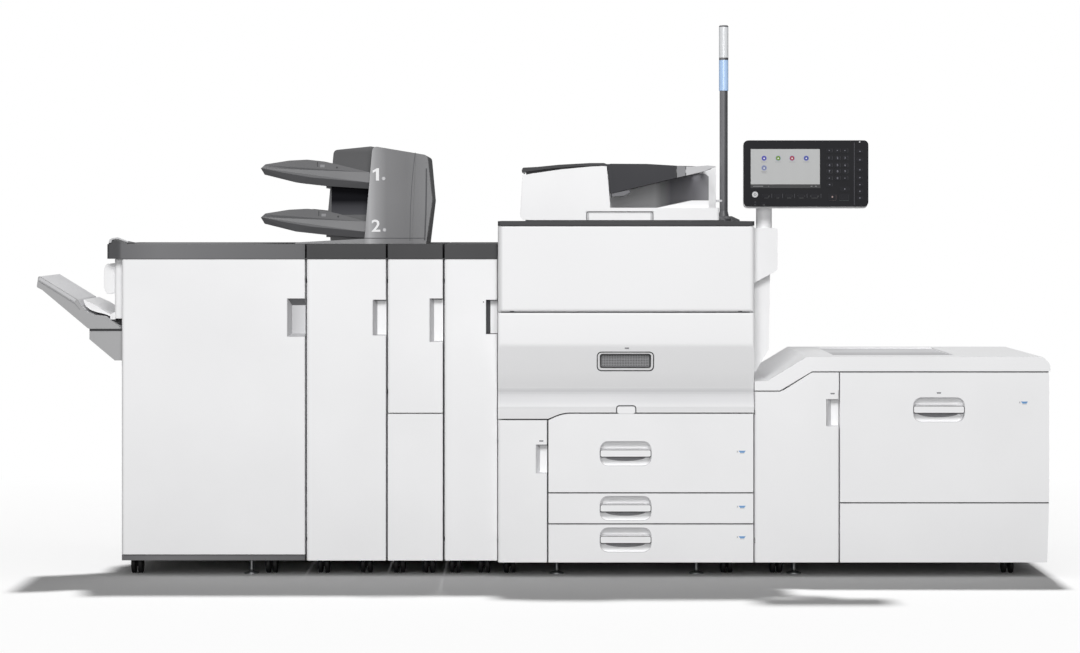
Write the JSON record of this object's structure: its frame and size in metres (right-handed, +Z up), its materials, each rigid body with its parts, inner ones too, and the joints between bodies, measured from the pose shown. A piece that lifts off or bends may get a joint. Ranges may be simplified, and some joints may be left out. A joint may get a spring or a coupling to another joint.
{
  "type": "digital production printer",
  "caption": "Digital production printer line with finisher, path modules, cover interposer, print engine, document feeder and large paper feeder; doors and drawers open.",
  "frame": {"origin": "on the floor under the middle of the whole line, halfway along its width and depth", "axes": "+X along the line from the finisher to the paper feeder, +Z up, the front with doors and drawers looks along -Y"},
  "size_m": [3.1756, 0.88, 1.756],
  "materials": {
    "white_cover": "satin",
    "side_cover": "satin",
    "cabinet_steel": "satin",
    "frame_steel": "satin",
    "dark_cap": "matte",
    "grey_plastic": "satin",
    "light_grey_plastic": "satin",
    "tray_grey": "matte",
    "inner_grey": "matte",
    "toner_plastic": "gloss",
    "exposure_glass": "polished",
    "panel_black": "satin",
    "panel_key": "matte",
    "screen_glass": "polished",
    "silver_key": "satin",
    "blue_lamp": "polished",
    "clear_lamp": "polished",
    "caster_black": "matte",
    "wheel_tread": "matte",
    "foot_steel": "brushed"
  },
  "bodies": {
    "line_frame": {"engine_frame": "frame_steel", "engine_covers": "side_cover", "power_inlet": "caster_black", "deck_cover": "dark_cap", "platen_glass": "exposure_glass", "inner_panel": "inner_grey", "toner_bottles": "toner_plastic", "signal_pole": "dark_cap", "lamp_lower": "blue_lamp", "lamp_upper": "clear_lamp", "panel_mount": "side_cover", "caster_forks": "caster_black", "finisher_cabinet": "cabinet_steel", "module_trims": "dark_cap", "folder_cabinet": "cabinet_steel", "inserter_cabinet": "white_cover", "relay_cabinet": "cabinet_steel", "interposer_body": "grey_plastic", "interposer_cover": "grey_plastic", "interposer_trays": "grey_plastic", "feeder_cabinet": "white_cover", "feeder_top": "white_cover"},
    "toner_cover": {"toner_cover": "white_cover"},
    "front_door": {"front_door": "white_cover"},
    "front_door_grip": {"front_door_grip": "light_grey_plastic"},
    "waste_door": {"waste_door": "white_cover"},
    "drawer_1": {"drawer_1_front": "white_cover", "drawer_1_tray": "tray_grey", "drawer_1_handle": "white_cover"},
    "drawer_2": {"drawer_2_front": "white_cover", "drawer_2_tray": "tray_grey", "drawer_2_handle": "white_cover"},
    "drawer_3": {"drawer_3_front": "white_cover", "drawer_3_tray": "tray_grey", "drawer_3_handle": "white_cover"},
    "document_feeder": {"adf_body": "white_cover"},
    "adf_feed_cover": {"adf_feed_cover": "grey_plastic"},
    "adf_tray": {"adf_tray": "grey_plastic"},
    "adf_guide_front": {"adf_guide_front": "grey_plastic"},
    "adf_guide_rear": {"adf_guide_rear": "grey_plastic"},
    "panel_arm": {"panel_arm": "side_cover"},
    "operation_panel": {"panel_case": "panel_black", "panel_back": "white_cover", "panel_screen": "screen_glass", "panel_keys": "panel_key"},
    "home_key": {"home_key": "silver_key"},
    "levelling_feet": {"levelling_feet": "foot_steel"},
    "front_wheels": {"front_wheels": "wheel_tread"},
    "rear_wheels": {"rear_wheels": "wheel_tread"},
    "finisher_door": {"finisher_door": "white_cover"},
    "shift_tray": {"shift_tray": "light_grey_plastic", "tray_carriage": "light_grey_plastic"},
    "exit_guide": {"exit_guide": "white_cover"},
    "folder_door": {"folder_door": "white_cover"},
    "inserter_door": {"inserter_door": "white_cover"},
    "relay_door": {"relay_door": "white_cover"},
    "feeder_door": {"feeder_door": "white_cover"},
    "feeder_drawer": {"feeder_drawer_front": "white_cover", "feeder_drawer_tray": "tray_grey", "feeder_handle": "white_cover"}
  },
  "joints": [
    {"name": "toner_cover_hinge", "type": "hinge", "parent": "line_frame", "child": "toner_cover", "pos_m": [0.262, -0.432, 0.836], "axis": [1, 0, 0], "range_deg": [0, 75]},
    {"name": "front_door_hinge", "type": "hinge", "parent": "line_frame", "child": "front_door", "pos_m": [0.262, -0.407, 0.52004], "axis": [1, 0, 0], "range_deg": [0, 78]},
    {"name": "front_door_grip_pivot", "type": "hinge", "parent": "front_door", "child": "front_door_grip", "pos_m": [0.26, -0.414, 0.693], "axis": [-1, 0, 0], "range_deg": [0, 20], "stiffness_Nm_per_rad": 0.2, "springref_deg": -11.46},
    {"name": "waste_door_hinge", "type": "hinge", "parent": "line_frame", "child": "waste_door", "pos_m": [-0.129, -0.406, 0.26], "axis": [0, 0, -1], "range_deg": [0, 92]},
    {"name": "finisher_door_hinge", "type": "hinge", "parent": "line_frame", "child": "finisher_door", "pos_m": [-1.308, -0.381, 0.52], "axis": [0, 0, -1], "range_deg": [0, 92]},
    {"name": "folder_door_hinge", "type": "hinge", "parent": "line_frame", "child": "folder_door", "pos_m": [-0.729, -0.381, 0.52], "axis": [0, 0, -1], "range_deg": [0, 92]},
    {"name": "inserter_door_hinge", "type": "hinge", "parent": "line_frame", "child": "inserter_door", "pos_m": [-0.475, -0.381, 0.75], "axis": [0, 0, -1], "range_deg": [0, 92]},
    {"name": "relay_door_hinge", "type": "hinge", "parent": "line_frame", "child": "relay_door", "pos_m": [-0.297, -0.381, 0.52], "axis": [0, 0, -1], "range_deg": [0, 92]},
    {"name": "feeder_door_hinge", "type": "hinge", "parent": "line_frame", "child": "feeder_door", "pos_m": [0.673, -0.406, 0.31], "axis": [0, 0, -1], "range_deg": [0, 90]},
    {"name": "drawer_1_slide", "type": "slide", "parent": "line_frame", "child": "drawer_1", "axis": [0, -1, 0], "range_m": [0, 0.45]},
    {"name": "drawer_2_slide", "type": "slide", "parent": "line_frame", "child": "drawer_2", "axis": [0, -1, 0], "range_m": [0, 0.45]},
    {"name": "drawer_3_slide", "type": "slide", "parent": "line_frame", "child": "drawer_3", "axis": [0, -1, 0], "range_m": [0, 0.45]},
    {"name": "feeder_drawer_slide", "type": "slide", "parent": "line_frame", "child": "feeder_drawer", "axis": [0, -1, 0], "range_m": [0, 0.45]},
    {"name": "document_feeder_hinge", "type": "hinge", "parent": "line_frame", "child": "document_feeder", "pos_m": [0.243, 0.188, 1.13], "axis": [-1, 0, 0], "range_deg": [0, 60]},
    {"name": "adf_feed_cover_hinge", "type": "hinge", "parent": "document_feeder", "child": "adf_feed_cover", "pos_m": [-0.056, -0.1, 1.26001], "axis": [0, -1, 0], "range_deg": [0, 60]},
    {"name": "adf_tray_hinge", "type": "hinge", "parent": "document_feeder", "child": "adf_tray", "pos_m": [0.223, -0.14, 1.277], "axis": [0, -1, 0], "range_deg": [0, 25]},
    {"name": "adf_guide_front_slide", "type": "slide", "parent": "adf_tray", "child": "adf_guide_front", "axis": [0, 1, 0], "range_m": [0, 0.1]},
    {"name": "adf_guide_rear_slide", "type": "slide", "parent": "adf_tray", "child": "adf_guide_rear", "axis": [0, -1, 0], "range_m": [0, 0.1]},
    {"name": "panel_swivel", "type": "hinge", "parent": "line_frame", "child": "panel_arm", "pos_m": [0.6995, -0.33, 1.16], "axis": [0, 0, 1], "range_deg": [-25, 60]},
    {"name": "panel_tilt", "type": "hinge", "parent": "panel_arm", "child": "operation_panel", "pos_m": [0.823, -0.377, 1.208], "axis": [-1, 0, 0], "range_deg": [0, 35]},
    {"name": "home_key_press", "type": "slide", "parent": "operation_panel", "child": "home_key", "axis": [0, 1, 0], "range_m": [0, 0.0015], "stiffness_N_per_m": 400, "springref_m": -0.001},
    {"name": "front_wheels_roll", "type": "hinge", "parent": "line_frame", "child": "front_wheels", "pos_m": [0, -0.315, 0.03], "axis": [1, 0, 0], "continuous": true},
    {"name": "rear_wheels_roll", "type": "hinge", "parent": "line_frame", "child": "rear_wheels", "pos_m": [0, 0.215, 0.03], "axis": [1, 0, 0], "continuous": true},
    {"name": "levelling_feet_lift", "type": "slide", "parent": "line_frame", "child": "levelling_feet", "axis": [0, 0, 1], "range_m": [0, 0.012]},
    {"name": "shift_tray_lift", "type": "slide", "parent": "line_frame", "child": "shift_tray", "axis": [0, 0, -1], "range_m": [0, 0.45]},
    {"name": "exit_guide_hinge", "type": "hinge", "parent": "line_frame", "child": "exit_guide", "pos_m": [-1.35, -0.235, 0.809], "axis": [0, 1, 0], "range_deg": [0, 20]}
  ],
  "couplings": [
    {"joint": "rear_wheels_roll", "follows": "front_wheels_roll", "ratio": 1},
    {"joint": "adf_guide_rear_slide", "follows": "adf_guide_front_slide", "ratio": 1}
  ]
}
